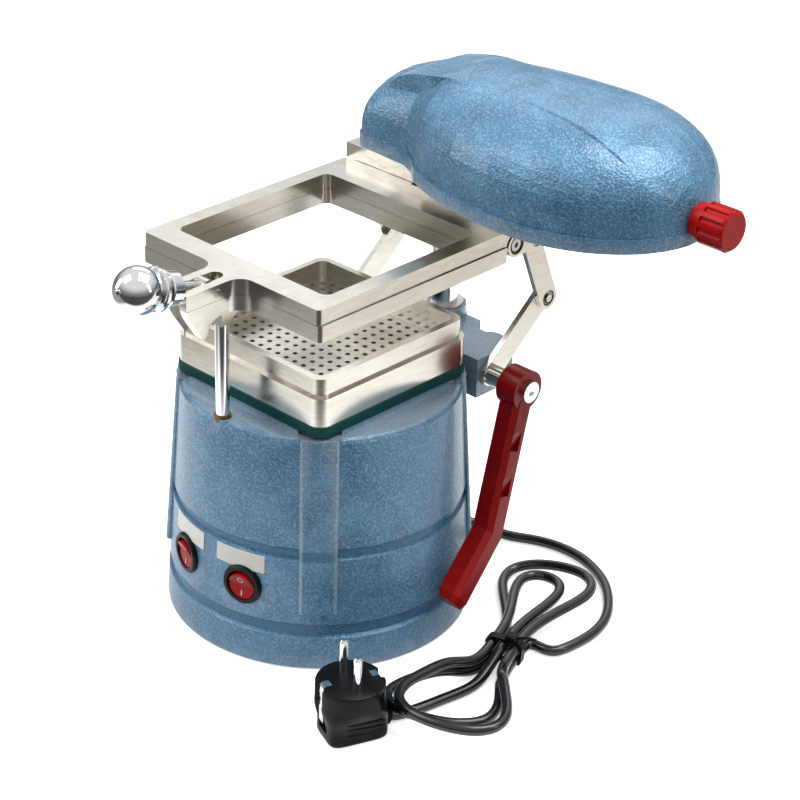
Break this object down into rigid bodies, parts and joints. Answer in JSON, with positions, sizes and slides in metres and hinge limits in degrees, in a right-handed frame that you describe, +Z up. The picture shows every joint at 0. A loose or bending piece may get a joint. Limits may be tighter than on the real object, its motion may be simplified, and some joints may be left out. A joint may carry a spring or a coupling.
{
  "type": "dental vacuum former",
  "caption": "Bench-top dental vacuum former with a round stepped base, perforated vacuum table, lever-lowered sheet frame, swing-bolt clamp and swivelling heater head.",
  "frame": {"origin": "centre of the base on the bench, in the plane of the foot ring", "axes": "+Z up; -Y towards the operator (clamp knob and switches); +X towards the press lever; the column stands at +Y"},
  "size_m": [0.2932, 0.3195, 0.3154],
  "materials": {
    "hammer_paint": "satin",
    "nickel": "satin",
    "chrome": "polished",
    "steel": "satin",
    "aluminium": "satin",
    "red_plastic": "gloss",
    "red_paint": "gloss",
    "black_plastic": "matte",
    "rubber": "matte",
    "green_rubber": "matte",
    "bronze": "satin",
    "copper": "satin",
    "label": "matte"
  },
  "bodies": {
    "base": {"base_housing": "hammer_paint", "base_plate": "black_plastic", "foot_ring": "rubber", "base_screws": "steel", "motor_mount": "rubber", "vacuum_motor": "aluminium", "suction_duct": "black_plastic", "table_gasket": "green_rubber", "vacuum_table": "aluminium", "perforated_plate": "aluminium", "table_screws": "steel", "heat_bezel": "black_plastic", "vacuum_bezel": "black_plastic", "label_plates": "label", "cord_gland": "black_plastic", "rod_bush": "bronze", "rear_bracket": "hammer_paint", "bracket_bolts": "steel", "column": "chrome", "column_collar": "hammer_paint", "column_washer": "steel", "head_collar": "steel", "cord_run": "rubber", "cord_hank": "rubber", "cord_tail": "rubber", "cord_tie": "black_plastic", "plug_body": "black_plastic", "plug_pins": "chrome"},
    "lever": {"lever_shaft": "steel", "crank_right": "steel", "crank_left": "steel", "elbow_pins": "steel", "hub_spacer": "steel", "lever_handle": "red_paint", "lever_screw": "chrome"},
    "carriage": {"crosshead": "nickel", "crosshead_bush": "bronze", "frame_screws": "steel", "hinge_pins": "steel", "lower_frame": "nickel", "guide_rod": "chrome", "link_screws": "steel"},
    "links": {"upper_link_right": "steel", "upper_link_left": "steel"},
    "upper": {"upper_frame": "nickel", "clamp_pin": "steel"},
    "bolt": {"swing_bolt": "steel"},
    "knob": {"clamp_collar": "chrome", "ball_knob": "chrome"},
    "head": {"head_casing": "hammer_paint", "head_floor": "aluminium", "head_hub": "black_plastic", "head_screws": "steel", "heater_tray": "steel", "heating_coil": "copper", "heater_guard": "steel", "head_knob": "red_plastic"},
    "heat_switch": {"heat_rocker": "red_plastic"},
    "vacuum_switch": {"vacuum_rocker": "red_plastic"},
    "rotor": {"motor_rotor": "copper"}
  },
  "joints": [
    {"name": "press_lever", "type": "hinge", "parent": "base", "child": "lever", "pos_m": [0, 0.0785, 0.1383], "axis": [-1, 0, 0], "range_deg": [0, 37.51]},
    {"name": "carriage_slide", "type": "slide", "parent": "base", "child": "carriage", "axis": [0, 0, -1], "range_m": [0, 0.042]},
    {"name": "link_pivot", "type": "hinge", "parent": "carriage", "child": "links", "pos_m": [0, 0.103, 0.22], "axis": [1, 0, 0], "range_deg": [0, 20.26]},
    {"name": "frame_hinge", "type": "hinge", "parent": "carriage", "child": "upper", "pos_m": [0, 0.085, 0.2215], "axis": [-1, 0, 0], "range_deg": [0, 22]},
    {"name": "clamp_bolt", "type": "hinge", "parent": "upper", "child": "bolt", "pos_m": [0, -0.0895, 0.2278], "axis": [-1, 0, 0], "range_deg": [-49.7, 60]},
    {"name": "clamp_knob", "type": "hinge", "parent": "bolt", "child": "knob", "pos_m": [0, -0.13588, 0.24092], "axis": [0, -0.9622, 0.2723], "continuous": true},
    {"name": "head_swivel", "type": "hinge", "parent": "base", "child": "head", "pos_m": [0, 0.102, 0.2666], "axis": [0, 0, 1], "range_deg": [-90, 0]},
    {"name": "heat_switch", "type": "hinge", "parent": "base", "child": "heat_switch", "pos_m": [0.02273, -0.08087, 0.0485], "axis": [-0.9627, -0.2706, 0], "range_deg": [0, 18]},
    {"name": "vacuum_switch", "type": "hinge", "parent": "base", "child": "vacuum_switch", "pos_m": [-0.02217, -0.08102, 0.0485], "axis": [-0.9646, 0.2639, 0], "range_deg": [0, 18]},
    {"name": "motor_spin", "type": "hinge", "parent": "base", "child": "rotor", "pos_m": [0, 0, 0.05], "axis": [0, 0, 1], "continuous": true}
  ],
  "couplings": [
    {"joint": "carriage_slide", "follows": "press_lever", "m_per_rad": 0.064154},
    {"joint": "link_pivot", "follows": "press_lever", "ratio": 0.5397}
  ]
}
